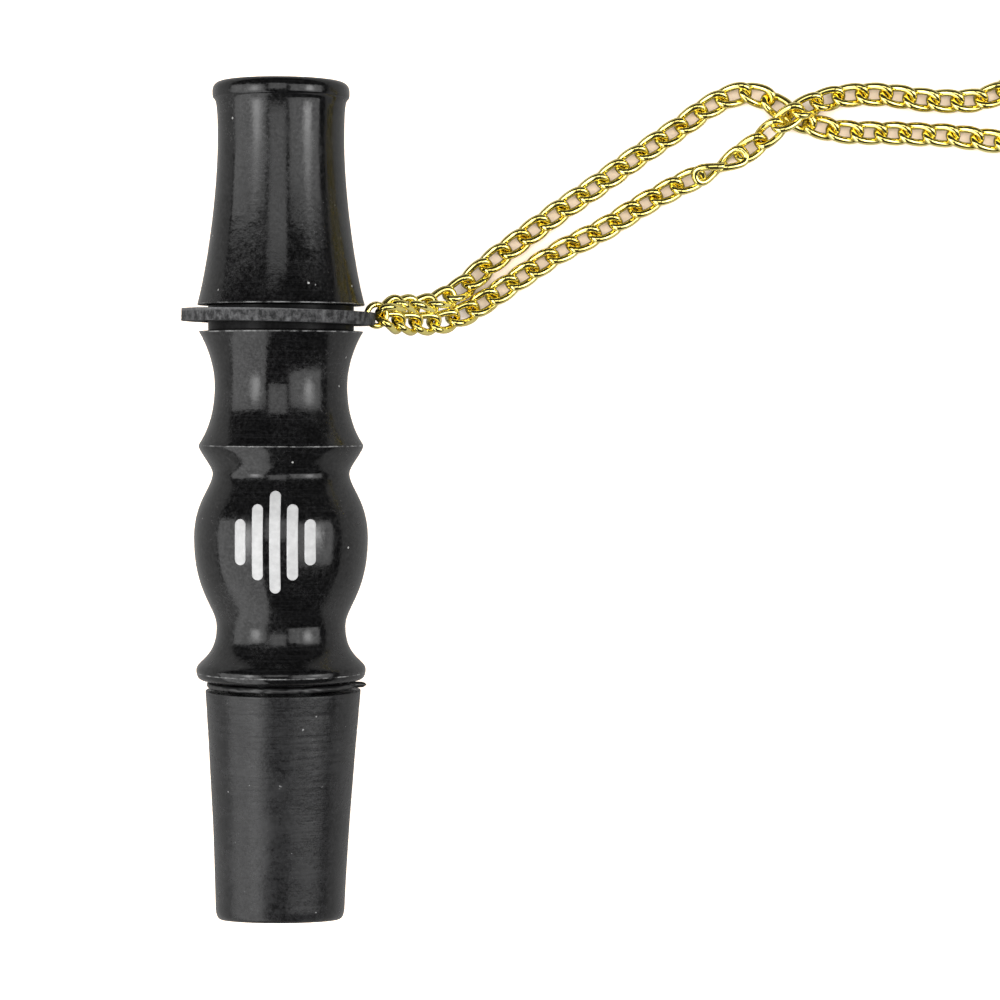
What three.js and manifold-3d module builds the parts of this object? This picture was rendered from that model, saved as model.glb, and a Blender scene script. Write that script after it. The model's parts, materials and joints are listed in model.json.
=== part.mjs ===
// A turned mouthpiece for a hose, with a flat ring round its neck and a curb chain on the ring.
// It lies on its side: millimetres, +Z up, the lip end towards +Y, the floor at z = 0.
// Turned pieces are drawn in the mouthpiece's own frame, with +Y along its axis and 0 at the sleeve's end.
import * as THREE from 'three';
import { mergeVertices } from 'three/addons/utils/BufferGeometryUtils.js';
import Module from 'manifold-3d';

const wasm = await Module();
wasm.setup();

// Driving dimensions of the mouthpiece: distances along the axis, and radii.
const LENGTH = 96.35;
const BORE_RADIUS = 4;
const AROUND = 32;

const SLEEVE_END = 26.05;
const SLEEVE_TAIL_RADIUS = 7.52;
const SLEEVE_TOP_RADIUS = 9.02;
const SHANK_START = 1;
const SHANK_RADIUS = 5.9;
const SLIDING_GAP = 0.3;

const SEAL_BOTTOM = 26.35;
const SEAL_TOP = 27;
const SEAL_RADIUS = 8.6;
const NIB_REACH = 10;
const NIB_WIDTH = 1;

const FLANGE = 28.45;
const FLANGE_RADIUS = 9.82;
const BODY_TOP = 67.65;
const BODY_TOP_RADIUS = 9.52;
const SOCKET_RADIUS = 6;
const SOCKET_BOTTOM = 57.85;
const COUNTERBORE_RADIUS = 7.4;
const COUNTERBORE_BOTTOM = 66.35;

const SPIGOT_RADIUS = 5.4;
const SPIGOT_END = 58.15;
const NECK_BOTTOM = 67.95;
const NECK_RADIUS = 8.42;
const SHOULDER = 70.65;
const SHOULDER_RADIUS = 9.7;
const LIP = 95.25;
const LIP_RADIUS = 7.92;

const RING_BOTTOM = 68.85;
const RING_THICKNESS = 1.45;
const RING_RADIUS = 11.2;
const RING_BORE_RADIUS = 8.9;
const RING_HOLE_FROM_AXIS = 9.95;
const RING_HOLE_RADIUS = 0.6;

// The wire rings and the chain.
const WIRE_RADIUS = 0.35;
const JUMP_RING_RADIUS = 1.25;
const JUMP_RING_DROOP = THREE.MathUtils.degToRad(30);
const CHAIN_WIDTH = 2.8;
const CHAIN_THICKNESS = 1.6;

// The folded spare chain, and the clasp beside it.
const HANK_WEST = 105;
const HANK_EAST = 139;
const HANK_MIDDLE_Y = 54;
const HANK_TURN_RADIUS = 2 * CHAIN_WIDTH;
const HANK_BOTTOM = 0.6;
const HANK_HEIGHT = 3 * CHAIN_THICKNESS;
const TIE_WIDTH = 3;
const TIE_THICKNESS = 0.4;
const TIE_GAP = 0.2;
const CLASP_START = 92.2;
const CLASP_Y = 42.5;
const CLASP_THICKNESS = 1.4;
const CLASP_PIN = new THREE.Vector2(5, 1.75);
const SMALL_RING_RADIUS = 1.8;
const SMALL_RING_TILT = THREE.MathUtils.degToRad(50);
const SMALL_RING_HEIGHT = SMALL_RING_RADIUS * Math.sin(SMALL_RING_TILT) + WIRE_RADIUS;

// The short strand runs from the jump ring to the clasp, the long one the other way round to the hank,
// and the end strand comes off the top of the hank to the clasp's far side.
const SHORT_STRAND = [
  [13, 22.7, 8.9], [14.6, 22.9, 6.6], [16.9, 23.2, 4.3], [19.1, 24.1, 2.6], [21.5, 25.7, 1.4],
  [23.4, 27.6, 1], [27.8, 31, 0.85], [32.4, 34.4, 0.85], [36.9, 37.5, 0.85], [41.6, 40.9, 0.85],
  [46.4, 44.2, 0.85], [50.9, 47.3, 0.85], [53.7, 48.4, 0.85], [56.3, 48.2, 0.85], [58.8, 46.7, 0.85],
  [61.6, 45.1, 0.85], [66, 44, 0.85], [72, 43.8, 0.85], [79, 43.5, 0.85], [85, 42.8, 0.85],
  [89.4, 42.5, 1.3],
];
const LONG_STRAND = [
  [13.1, 20.7, 8.6], [15.7, 20.7, 5.7], [18.4, 21, 3.4], [20.9, 22, 1.8], [23.2, 23.4, 1],
  [27.9, 26.6, 0.85], [32.5, 29.6, 0.85], [37.7, 32.3, 0.85], [42.7, 35.4, 0.85], [47.2, 37.8, 0.85],
  [51.9, 39.9, 0.85], [55.2, 42, 1], [57.6, 43.9, 1.9], [59.9, 45.7, 2.8], [62.4, 47.1, 2], [65.6, 48.1, 1],
  [70.5, 48.4, 0.85], [77, 47.7, 0.85], [83, 48, 0.85], [87.5, 50.4, 0.85], [90.9, 54, 0.9], [94, 57.4, 1.1],
  [96.8, 59.2, 1.3], [99.4, 59.6, 1.4],
];
const END_STRAND = [
  [118.4, 45.9, 3.7], [116, 44.7, 2.6], [113.6, 43.6, 1.6], [111, 42.8, 1], [108.4, 42.5, 1],
  [106.3, 42.5, 1.4],
];

const BLACK_GLOSS = new THREE.MeshStandardMaterial({ color: 0x0c0c0d, roughness: 0.15 });
const GREY_RUBBER = new THREE.MeshStandardMaterial({ color: 0x3e3e40, roughness: 0.75 });
const BLACK_RUBBER = new THREE.MeshStandardMaterial({ color: 0x0a0a0a, roughness: 0.6 });
const GOLD = new THREE.MeshStandardMaterial({ color: 0xd2a253, roughness: 0.25, metalness: 1 });
const TIE_GREY = new THREE.MeshStandardMaterial({ color: 0x1c1c1e, roughness: 0.7 });

function named(name, geometry, material) {
  const mesh = new THREE.Mesh(geometry, material);
  mesh.name = name;
  return mesh;
}

// A closed outline of (radius, along) points, turned about the axis, with flats facing up, down and sideways.
function turned(outline, smoothness) {
  const points = outline.getPoints(smoothness);
  return new THREE.LatheGeometry(points, AROUND, Math.PI / AROUND);
}

// One stretch of a turned outline, with its tangents along the axis at both ends unless a slope is given.
function sweepTo(outline, from, to, ahead, behind, slopeFrom = 0, slopeTo = 0) {
  outline.bezierCurveTo(
    from.radius + slopeFrom * ahead, from.along + ahead,
    to.radius - slopeTo * behind, to.along - behind,
    to.radius, to.along,
  );
}

function toSolid(geometry) {
  const bare = geometry.clone();
  bare.deleteAttribute('normal');
  bare.deleteAttribute('uv');
  const welded = mergeVertices(bare, 1e-5);
  const mesh = new wasm.Mesh({
    numProp: 3,
    vertProperties: new Float32Array(welded.attributes.position.array),
    triVerts: new Uint32Array(welded.index.array),
  });
  return new wasm.Manifold(mesh);
}

function toGeometry(solid) {
  const mesh = solid.getMesh();
  const geometry = new THREE.BufferGeometry();
  geometry.setAttribute('position', new THREE.BufferAttribute(new Float32Array(mesh.vertProperties), 3));
  geometry.setIndex(new THREE.BufferAttribute(new Uint32Array(mesh.triVerts), 1));
  geometry.computeVertexNormals();
  return geometry;
}

// The lower body: shank, flange, bulb, groove, ridge and waist outside, bore and tip socket inside.
function gripBody() {
  const flange = { along: FLANGE, radius: FLANGE_RADIUS };
  const lowerNeck = { along: 33.45, radius: 7.47 };
  const bulb = { along: 43.75, radius: 10.07 };
  const groove = { along: 51.25, radius: 7.92 };
  const ridge = { along: 54.45, radius: 9.53 };
  const waist = { along: 61.35, radius: 7.67 };
  const topEdge = { along: BODY_TOP, radius: BODY_TOP_RADIUS };
  const flangeFace = SEAL_TOP + SLIDING_GAP;
  const outline = new THREE.Path();
  outline.moveTo(BORE_RADIUS, SHANK_START);
  outline.lineTo(SHANK_RADIUS, SHANK_START);
  outline.lineTo(SHANK_RADIUS, flangeFace);
  outline.lineTo(FLANGE_RADIUS - 0.85, flangeFace);
  outline.quadraticCurveTo(FLANGE_RADIUS, flangeFace, flange.radius, flange.along);
  sweepTo(outline, flange, lowerNeck, 1.1, 3.65);
  sweepTo(outline, lowerNeck, bulb, 2.3, 6.45);
  sweepTo(outline, bulb, groove, 4.3, 1.7);
  sweepTo(outline, groove, ridge, 0.75, 0.7);
  sweepTo(outline, ridge, waist, 0.3, 4.7);
  sweepTo(outline, waist, topEdge, 3, 0.7, 0, 0.64);
  outline.lineTo(COUNTERBORE_RADIUS, BODY_TOP);
  outline.lineTo(COUNTERBORE_RADIUS, COUNTERBORE_BOTTOM);
  outline.lineTo(SOCKET_RADIUS, COUNTERBORE_BOTTOM);
  outline.lineTo(SOCKET_RADIUS, SOCKET_BOTTOM);
  outline.lineTo(BORE_RADIUS, SOCKET_BOTTOM);
  outline.lineTo(BORE_RADIUS, SHANK_START);
  return turned(outline, 5);
}

// The lip end: spigot, neck for the ring, shoulder, long taper and rounded lip.
function mouthTip() {
  const shoulder = { along: SHOULDER, radius: SHOULDER_RADIUS };
  const narrow = { along: 89.95, radius: 7.3 };
  const lip = { along: LIP, radius: LIP_RADIUS };
  const faceRadius = LIP_RADIUS - 0.82;
  const outline = new THREE.Path();
  outline.moveTo(BORE_RADIUS, SPIGOT_END);
  outline.lineTo(SPIGOT_RADIUS, SPIGOT_END);
  outline.lineTo(SPIGOT_RADIUS, NECK_BOTTOM);
  outline.lineTo(NECK_RADIUS, NECK_BOTTOM);
  outline.lineTo(NECK_RADIUS, SHOULDER);
  outline.lineTo(SHOULDER_RADIUS, SHOULDER);
  sweepTo(outline, shoulder, narrow, 3.9, 6.5, -0.28);
  sweepTo(outline, narrow, lip, 6.3, 1.9);
  outline.quadraticCurveTo(LIP_RADIUS, LENGTH - 0.2, faceRadius, LENGTH);
  outline.lineTo(BORE_RADIUS + 0.6, LENGTH);
  outline.lineTo(BORE_RADIUS, LENGTH - 0.6);
  outline.lineTo(BORE_RADIUS, SPIGOT_END);
  return turned(outline, 5);
}

// The soft end sleeve: a slightly hollow taper with a rounded tail edge.
function taperSleeve() {
  const innerRadius = SHANK_RADIUS + SLIDING_GAP;
  const tailRound = 1.5;
  const outline = new THREE.Path();
  outline.moveTo(innerRadius, 0);
  outline.lineTo(SLEEVE_TAIL_RADIUS - tailRound / 2, 0);
  outline.quadraticCurveTo(SLEEVE_TAIL_RADIUS, 0, SLEEVE_TAIL_RADIUS, tailRound);
  outline.quadraticCurveTo(SLEEVE_TAIL_RADIUS + 0.44, SLEEVE_END / 2, SLEEVE_TOP_RADIUS, SLEEVE_END);
  outline.lineTo(innerRadius, SLEEVE_END);
  outline.lineTo(innerRadius, 0);
  return turned(outline, 5);
}

// A flat washer between flange and sleeve, with a nib of moulding flash on one side.
function sleeveSeal() {
  const innerRadius = SHANK_RADIUS + SLIDING_GAP;
  const outline = new THREE.Path();
  outline.moveTo(innerRadius, SEAL_BOTTOM);
  outline.lineTo(SEAL_RADIUS, SEAL_BOTTOM);
  outline.lineTo(SEAL_RADIUS, SEAL_TOP);
  outline.lineTo(innerRadius, SEAL_TOP);
  outline.lineTo(innerRadius, SEAL_BOTTOM);
  const nibLength = NIB_REACH - SEAL_RADIUS + 0.6;
  const nib = new THREE.BoxGeometry(nibLength, SEAL_TOP - SEAL_BOTTOM - 0.1, NIB_WIDTH);
  nib.translate(NIB_REACH - nibLength / 2, (SEAL_TOP + SEAL_BOTTOM) / 2, 0);
  return toGeometry(toSolid(turned(outline, 1)).add(toSolid(nib)));
}

// The O-ring between tip and body, in the body's counterbore.
function jointSeal() {
  const ring = new THREE.TorusGeometry(6.55, 0.55, 8, AROUND);
  ring.rotateX(Math.PI / 2);
  ring.translate(0, (COUNTERBORE_BOTTOM + BODY_TOP) / 2, 0);
  return ring;
}

function circlePoints(radius, count) {
  const points = [];
  for (let i = 0; i < count; i += 1) {
    const angle = ((i + 0.5) / count) * 2 * Math.PI;
    points.push(new THREE.Vector2(radius * Math.cos(angle), radius * Math.sin(angle)));
  }
  return points;
}

// The flat ring that holds the chain, with one small hole at the +X side.
function chainRing() {
  const holeCentre = new THREE.Vector2(RING_HOLE_FROM_AXIS, 0);
  const hole = circlePoints(RING_HOLE_RADIUS, 12).map((p) => p.add(holeCentre));
  const face = new THREE.Shape(circlePoints(RING_RADIUS, AROUND));
  face.holes.push(new THREE.Path(circlePoints(RING_BORE_RADIUS, AROUND)));
  face.holes.push(new THREE.Path(hole));
  const ring = new THREE.ExtrudeGeometry(face, { depth: RING_THICKNESS, bevelEnabled: false });
  ring.rotateX(Math.PI / 2);
  ring.translate(0, RING_BOTTOM + RING_THICKNESS, 0);
  return ring;
}

// The wire ring through the flat ring's hole, drooping from it.
function jumpRing() {
  const ring = new THREE.TorusGeometry(JUMP_RING_RADIUS, WIRE_RADIUS, 8, 20);
  ring.translate(JUMP_RING_RADIUS, 0, 0);
  ring.rotateY(JUMP_RING_DROOP);
  ring.translate(RING_HOLE_FROM_AXIS, RING_BOTTOM + RING_THICKNESS / 2, 0);
  return ring;
}

// A wire ring on the floor at one end of the clasp, leaning over so that it links what lies flat.
function smallRing(x) {
  const ring = new THREE.TorusGeometry(SMALL_RING_RADIUS, WIRE_RADIUS, 8, 16);
  ring.rotateX(SMALL_RING_TILT);
  ring.translate(x, CLASP_Y, SMALL_RING_HEIGHT);
  return ring;
}

// A stretch of chain as a plain tube, as thick as the chain lies on the floor.
function chainTube(route, steps) {
  const path = new THREE.CatmullRomCurve3(route.map((p) => new THREE.Vector3(...p)), false, 'centripetal');
  const section = new THREE.Shape(circlePoints(CHAIN_THICKNESS / 2, 8));
  return new THREE.ExtrudeGeometry(section, { steps, extrudePath: path, bevelEnabled: false });
}

function racetrack(Outline, radius) {
  const outline = new Outline();
  outline.absarc(HANK_EAST, HANK_MIDDLE_Y, radius, -Math.PI / 2, Math.PI / 2, false);
  outline.absarc(HANK_WEST, HANK_MIDDLE_Y, radius, Math.PI / 2, (3 * Math.PI) / 2, false);
  outline.closePath();
  return outline;
}

// The folded spare chain: three turns of a long narrow loop lying on each other.
function chainHank() {
  const outside = racetrack(THREE.Shape, HANK_TURN_RADIUS + CHAIN_WIDTH / 2);
  outside.holes.push(racetrack(THREE.Path, HANK_TURN_RADIUS - CHAIN_WIDTH / 2));
  const settings = { depth: HANK_HEIGHT, bevelEnabled: false, curveSegments: 5 };
  const hank = new THREE.ExtrudeGeometry(outside, settings);
  hank.translate(0, 0, HANK_BOTTOM);
  return hank;
}

function rectangle(Outline, halfWidth, low, high) {
  const outline = new Outline();
  outline.moveTo(-halfWidth, low);
  outline.lineTo(halfWidth, low);
  outline.lineTo(halfWidth, high);
  outline.lineTo(-halfWidth, high);
  outline.closePath();
  return outline;
}

// The soft band round the middle of the hank.
function hankTie() {
  const insideHalf = HANK_TURN_RADIUS + CHAIN_WIDTH / 2 + TIE_GAP;
  const insideTop = HANK_BOTTOM + HANK_HEIGHT + TIE_GAP;
  const band = rectangle(THREE.Shape, insideHalf + TIE_THICKNESS, 0, insideTop + TIE_THICKNESS);
  band.holes.push(rectangle(THREE.Path, insideHalf, TIE_THICKNESS, insideTop));
  const tie = new THREE.ExtrudeGeometry(band, { depth: TIE_WIDTH, bevelEnabled: false });
  const acrossUpAlong = new THREE.Matrix4().makeBasis(
    new THREE.Vector3(0, 1, 0),
    new THREE.Vector3(0, 0, 1),
    new THREE.Vector3(1, 0, 0),
  );
  tie.applyMatrix4(acrossUpAlong);
  tie.translate((HANK_WEST + HANK_EAST - TIE_WIDTH) / 2, HANK_MIDDLE_Y, 0);
  return tie;
}

// The clasp lies flat, its tail eye at its own origin and its hook towards +X, open on the +Y side.
const EYE_RADIUS = 1.6;
const EYE_HOLE_RADIUS = 1;
const EYE_THICKNESS = 0.8;
const HOOK_CENTRE_X = 8.6;
const HOOK_OUTER_RADIUS = 3.1;
const HOOK_INNER_RADIUS = 1.8;
const HOOK_TIP_ANGLE = THREE.MathUtils.degToRad(66);
const PIN_RADIUS = 0.35;
const PIN_HOLE_RADIUS = 0.55;
const PIN_PAD_RADIUS = 1.25;
const LEVER_THICKNESS = 0.6;
const LEVER_SLOT = 0.9;

function claspPlate(outline, thickness) {
  const settings = { depth: thickness, bevelEnabled: false, curveSegments: 8 };
  const plate = new THREE.ExtrudeGeometry(outline, settings);
  plate.translate(0, 0, (CLASP_THICKNESS - thickness) / 2);
  return plate;
}

function roundHole(x, y, radius) {
  const hole = new THREE.Path();
  hole.absarc(x, y, radius, 0, 2 * Math.PI, true);
  return hole;
}

function claspBody() {
  const outline = new THREE.Shape();
  outline.absarc(EYE_RADIUS, 0, EYE_RADIUS, Math.PI / 2, (3 * Math.PI) / 2, false);
  outline.lineTo(4.8, -2.6);
  outline.absarc(HOOK_CENTRE_X, 0, HOOK_OUTER_RADIUS, -Math.PI / 2, HOOK_TIP_ANGLE, false);
  outline.absarc(HOOK_CENTRE_X, 0, HOOK_INNER_RADIUS, HOOK_TIP_ANGLE, -Math.PI / 2, true);
  outline.lineTo(5.4, -1.3);
  outline.lineTo(4.4, -0.2);
  outline.lineTo(5.4, 0.4);
  outline.absarc(CLASP_PIN.x, CLASP_PIN.y, PIN_PAD_RADIUS, -0.3 * Math.PI, 0.6 * Math.PI, false);
  outline.closePath();
  outline.holes.push(roundHole(EYE_RADIUS, 0, EYE_HOLE_RADIUS));
  outline.holes.push(roundHole(CLASP_PIN.x, CLASP_PIN.y, PIN_HOLE_RADIUS));
  const slot = new THREE.BoxGeometry(3.6, 3.6, LEVER_SLOT);
  slot.translate(CLASP_PIN.x + 0.6, CLASP_PIN.y + 0.35, CLASP_THICKNESS / 2);
  let body = toSolid(claspPlate(outline, CLASP_THICKNESS)).subtract(toSolid(slot));
  for (const side of [-1, 1]) {
    const relief = new THREE.BoxGeometry(2 * EYE_RADIUS, 4 * EYE_RADIUS, 1);
    relief.translate(EYE_RADIUS - 0.3, 0, CLASP_THICKNESS / 2 + (side * (EYE_THICKNESS + 1)) / 2);
    body = body.subtract(toSolid(relief));
  }
  return toGeometry(body);
}

// The gate: an arm from the pin to the hook's tip, with a thumb nub outside.
function claspLever() {
  const outline = new THREE.Shape();
  outline.absarc(CLASP_PIN.x, CLASP_PIN.y, 1, 0.75 * Math.PI, 1.6 * Math.PI, false);
  outline.lineTo(9, 1.85);
  outline.lineTo(9, 2.75);
  outline.lineTo(6.4, 3);
  outline.lineTo(5.5, 4.2);
  outline.lineTo(4.6, 4.1);
  outline.closePath();
  outline.holes.push(roundHole(CLASP_PIN.x, CLASP_PIN.y, PIN_HOLE_RADIUS));
  return claspPlate(outline, LEVER_THICKNESS);
}

function claspPin() {
  const pin = new THREE.CylinderGeometry(PIN_RADIUS, PIN_RADIUS, CLASP_THICKNESS - 0.1, 12);
  pin.rotateX(Math.PI / 2);
  pin.translate(CLASP_PIN.x, CLASP_PIN.y, CLASP_THICKNESS / 2);
  return pin;
}

// The turned pieces, tilted to rest on the flat ring and the flange, centred over the origin.
function mouthpiece() {
  const group = new THREE.Group();
  group.add(named('grip_body', gripBody(), BLACK_GLOSS));
  group.add(named('mouth_tip', mouthTip(), BLACK_GLOSS));
  group.add(named('joint_seal', jointSeal(), BLACK_RUBBER));
  group.add(named('taper_sleeve', taperSleeve(), GREY_RUBBER));
  group.add(named('sleeve_seal', sleeveSeal(), BLACK_RUBBER));
  group.add(named('chain_ring', chainRing(), GREY_RUBBER));
  const flatsShare = Math.cos(Math.PI / AROUND);
  const rise = (RING_RADIUS - FLANGE_RADIUS) * flatsShare;
  group.rotation.x = Math.atan(rise / (RING_BOTTOM - FLANGE));
  const box = new THREE.Box3().setFromObject(group, true);
  const centre = box.getCenter(new THREE.Vector3());
  group.position.set(-centre.x, -centre.y, -box.min.z);
  group.add(named('jump_ring', jumpRing(), GOLD));
  return group;
}

function clasp() {
  const group = new THREE.Group();
  group.add(named('clasp_body', claspBody(), GOLD));
  group.add(named('clasp_lever', claspLever(), GOLD));
  group.add(named('clasp_pin', claspPin(), GOLD));
  group.position.set(CLASP_START, CLASP_Y, SMALL_RING_HEIGHT - CLASP_THICKNESS / 2);
  return group;
}

const part = new THREE.Group();
part.add(mouthpiece());
part.add(named('chain_short_strand', chainTube(SHORT_STRAND, 44), GOLD));
part.add(named('chain_long_strand', chainTube(LONG_STRAND, 50), GOLD));
part.add(named('chain_end_strand', chainTube(END_STRAND, 8), GOLD));
part.add(named('chain_hank', chainHank(), GOLD));
part.add(named('hank_tie', hankTie(), TIE_GREY));
part.add(clasp());
part.add(named('clasp_ring', smallRing(CLASP_START + EYE_RADIUS - SMALL_RING_RADIUS), GOLD));
part.add(named('end_ring', smallRing(CLASP_START + HOOK_CENTRE_X + 2.6), GOLD));

export default part;
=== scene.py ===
# A turned hose mouthpiece with a neck chain, lying on a pale floor under soft studio light.
# Metres, +Z up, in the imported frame. Turned pieces are drawn in the mouthpiece's own frame: +Y along
# its axis from the sleeve's tail end, +X to the side that carries the chain.
import json
import math
import random

import bmesh
import bpy
from mathutils import Matrix, Vector, noise


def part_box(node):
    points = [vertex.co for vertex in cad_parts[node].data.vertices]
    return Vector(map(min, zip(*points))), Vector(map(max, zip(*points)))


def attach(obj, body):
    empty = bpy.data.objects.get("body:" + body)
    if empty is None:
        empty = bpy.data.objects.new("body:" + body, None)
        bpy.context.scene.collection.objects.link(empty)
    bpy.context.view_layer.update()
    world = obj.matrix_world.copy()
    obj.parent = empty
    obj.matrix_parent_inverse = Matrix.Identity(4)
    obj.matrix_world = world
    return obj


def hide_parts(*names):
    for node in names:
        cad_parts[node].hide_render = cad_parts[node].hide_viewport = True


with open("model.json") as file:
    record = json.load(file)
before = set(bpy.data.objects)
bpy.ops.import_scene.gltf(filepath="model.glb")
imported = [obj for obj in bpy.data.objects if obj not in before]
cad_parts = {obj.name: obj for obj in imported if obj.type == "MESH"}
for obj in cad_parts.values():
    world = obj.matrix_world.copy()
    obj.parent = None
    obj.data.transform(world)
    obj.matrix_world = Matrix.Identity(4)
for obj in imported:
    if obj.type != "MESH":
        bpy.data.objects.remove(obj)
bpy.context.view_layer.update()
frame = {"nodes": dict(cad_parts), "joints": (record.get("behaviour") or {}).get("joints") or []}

MM = 0.001

# The mouthpiece's frame, from the joint that lets it spin in its ring.
RING_MIDDLE = 69.575 * MM
spin = next(joint for joint in frame["joints"] if joint["name"] == "mouthpiece_spin")
AXIS = Vector(spin["axis"]).normalized()
SIDE = Vector((1, 0, 0))
TAIL_END = Vector(spin["pos_m"]) - AXIS * RING_MIDDLE
MOUTHPIECE = Matrix.Translation(TAIL_END) @ Matrix((SIDE, AXIS, SIDE.cross(AXIS))).transposed().to_4x4()
WORLD = Matrix.Identity(4)

# The mouthpiece, as (radius, along) points and plain lengths.
BORE_RADIUS = 4 * MM
LENGTH = 96.35 * MM
SHANK_RADIUS = 5.9 * MM
FLANGE_FACE = 27.3 * MM
FLANGE = (9.82 * MM, 28.45 * MM)
LOWER_NECK = (7.47 * MM, 33.45 * MM)
BULB = (10.07 * MM, 43.75 * MM)
GROOVE = (7.92 * MM, 51.25 * MM)
RIDGE = (9.53 * MM, 54.45 * MM)
WAIST = (7.67 * MM, 61.35 * MM)
TOP_EDGE = (9.52 * MM, 67.65 * MM)
COUNTERBORE = (7.4 * MM, 66.35 * MM)
SOCKET = (5.8 * MM, 57.85 * MM)
SPIGOT = (5.55 * MM, 58.15 * MM)
TIP_NECK = (8.42 * MM, 67.68 * MM)
SHOULDER = (9.7 * MM, 70.65 * MM)
NARROW = (7.3 * MM, 89.95 * MM)
LIP = (7.92 * MM, 95.25 * MM)
LIP_FACE_RADIUS = 7.1 * MM
SLEEVE_BORE_RADIUS = 6.2 * MM
SLEEVE_TAIL_RADIUS = 7.52 * MM
SLEEVE_TOP = (9.02 * MM, 26.05 * MM)
SLEEVE_TAIL_OFFSET = -0.12 * MM
SLEEVE_TOP_OFFSET = 0.25 * MM
SLEEVE_END_SLANT = 0.75 * MM
SEAL_BOTTOM = 26.35 * MM
SEAL_TOP = 27 * MM
SEAL_RADIUS = 8.6 * MM
NIB_REACH = 1.4 * MM
RING_BOTTOM = 68.85 * MM
RING_TOP = 70.3 * MM
RING_RADIUS = 11.2 * MM
RING_OFFSET = (-0.3 * MM, -0.25 * MM, 0)
RING_LEAN = math.radians(-1.2)
RING_BORE_RADIUS = 8.9 * MM
RING_HOLE_FROM_AXIS = 9.95 * MM
RING_HOLE_RADIUS = 0.54 * MM
JOINT_SEAL_RADIUS = 6.55 * MM
JOINT_SEAL_WIRE = 0.55 * MM
THREAD_PITCH = 1.5 * MM
THREAD_DEPTH = 0.25 * MM
THREAD_FLANK = 0.31
AROUND = 192

# The chain: oval links of round wire, twisted so that they lie flat in each other.
RING_WIRE = 0.35 * MM
LINK_PITCH = 2.85 * MM
LINK_WIRE_RADIUS = 0.44 * MM
LINK_HALF_LENGTH = 1.89 * MM
LINK_HALF_WIDTH = 1 * MM
LINK_TWIST = math.radians(42)
CHAIN_WIDTH = 2.8 * MM
CHAIN_THICKNESS = 1.6 * MM
CHAIN_LEVEL = 0.85 * MM
HOOK_REACH = LINK_HALF_LENGTH - LINK_WIRE_RADIUS - RING_WIRE

JUMP_RING_RADIUS = 1.25 * MM
JUMP_RING_DROOP = math.radians(30)
SMALL_RING_RADIUS = 1.8 * MM
SMALL_RING_TILT = math.radians(50)

# The chain's routes, the same points as in the CAD model.
SHORT_STRAND = [
    (0.013, 0.0227, 0.0089), (0.0146, 0.0229, 0.0066), (0.0169, 0.0232, 0.0043), (0.0191, 0.0241, 0.0026),
    (0.0215, 0.0257, 0.0014), (0.0234, 0.0276, 0.001), (0.0278, 0.031, 0.00085), (0.0324, 0.0344, 0.00085),
    (0.0369, 0.0375, 0.00085), (0.0416, 0.0409, 0.00085), (0.0464, 0.0442, 0.00085),
    (0.0509, 0.0473, 0.00085), (0.0537, 0.0484, 0.00085), (0.0563, 0.0482, 0.00085),
    (0.0588, 0.0467, 0.00085), (0.0616, 0.0451, 0.00085),
    (0.066, 0.044, 0.00085), (0.072, 0.0438, 0.00085), (0.079, 0.0435, 0.00085), (0.085, 0.0428, 0.00085),
    (0.0894, 0.0425, 0.0013),
]
LONG_STRAND = [
    (0.0131, 0.0207, 0.0086), (0.0157, 0.0207, 0.0057), (0.0184, 0.021, 0.0034), (0.0209, 0.022, 0.0018),
    (0.0232, 0.0234, 0.001), (0.0279, 0.0266, 0.00085), (0.0325, 0.0296, 0.00085), (0.0377, 0.0323, 0.00085),
    (0.0427, 0.0354, 0.00085), (0.0472, 0.0378, 0.00085), (0.0519, 0.0399, 0.00085), (0.0552, 0.042, 0.001),
    (0.0576, 0.0439, 0.0019), (0.0599, 0.0457, 0.0028), (0.0624, 0.0471, 0.002), (0.0656, 0.0481, 0.001),
    (0.0705, 0.0484, 0.00085), (0.077, 0.0477, 0.00085), (0.083, 0.048, 0.00085), (0.0875, 0.0504, 0.00085),
    (0.0909, 0.054, 0.0009), (0.094, 0.0574, 0.0011), (0.0968, 0.0592, 0.0013), (0.0994, 0.0596, 0.0014),
]
END_STRAND = [
    (0.1184, 0.0459, 0.0037), (0.116, 0.0447, 0.0026), (0.1136, 0.0436, 0.0016), (0.111, 0.0428, 0.001),
    (0.1084, 0.0425, 0.001), (0.1063, 0.0425, 0.0014),
]
HANK_WEST = 0.105
HANK_EAST = 0.139
HANK_MIDDLE_Y = 0.054
HANK_TURN_RADIUS = 2 * CHAIN_WIDTH
HANK_TURNS = 3
HANK_RISE = 0.55 * MM
TIE_MIDDLE = (HANK_WEST + HANK_EAST) / 2
TIE_WIDTH = 3 * MM
TIE_THICKNESS = 0.4 * MM
WEFT_STEP = 0.32 * MM
WARP_STEP = 0.27 * MM

# The camera looks straight down, as high above the mouthpiece's axis as the view asks.
VIEW_CENTRE = (0.02539, 0)
VIEW_ROLL = math.radians(0.14)
VIEW_HEIGHT = 0.3607
VIEW_ANGLE = 2 * math.atan(0.1159 / 2 / 0.35)

FLOOR_LEVEL = -0.02 * MM


# ---- mesh helpers ----


def smoothstep(x):
    x = min(1, max(0, x))
    return x * x * (3 - 2 * x)


def add_piece(name, points, faces, material, place=WORLD):
    mesh = bpy.data.meshes.new(name)
    mesh.from_pydata(points, [], faces)
    shell = bmesh.new()
    shell.from_mesh(mesh)
    bmesh.ops.recalc_face_normals(shell, faces=shell.faces)
    shell.to_mesh(mesh)
    shell.free()
    mesh.shade_smooth()
    mesh.materials.append(material)
    piece = bpy.data.objects.new(name, mesh)
    bpy.context.scene.collection.objects.link(piece)
    piece.matrix_world = place
    return piece


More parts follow.
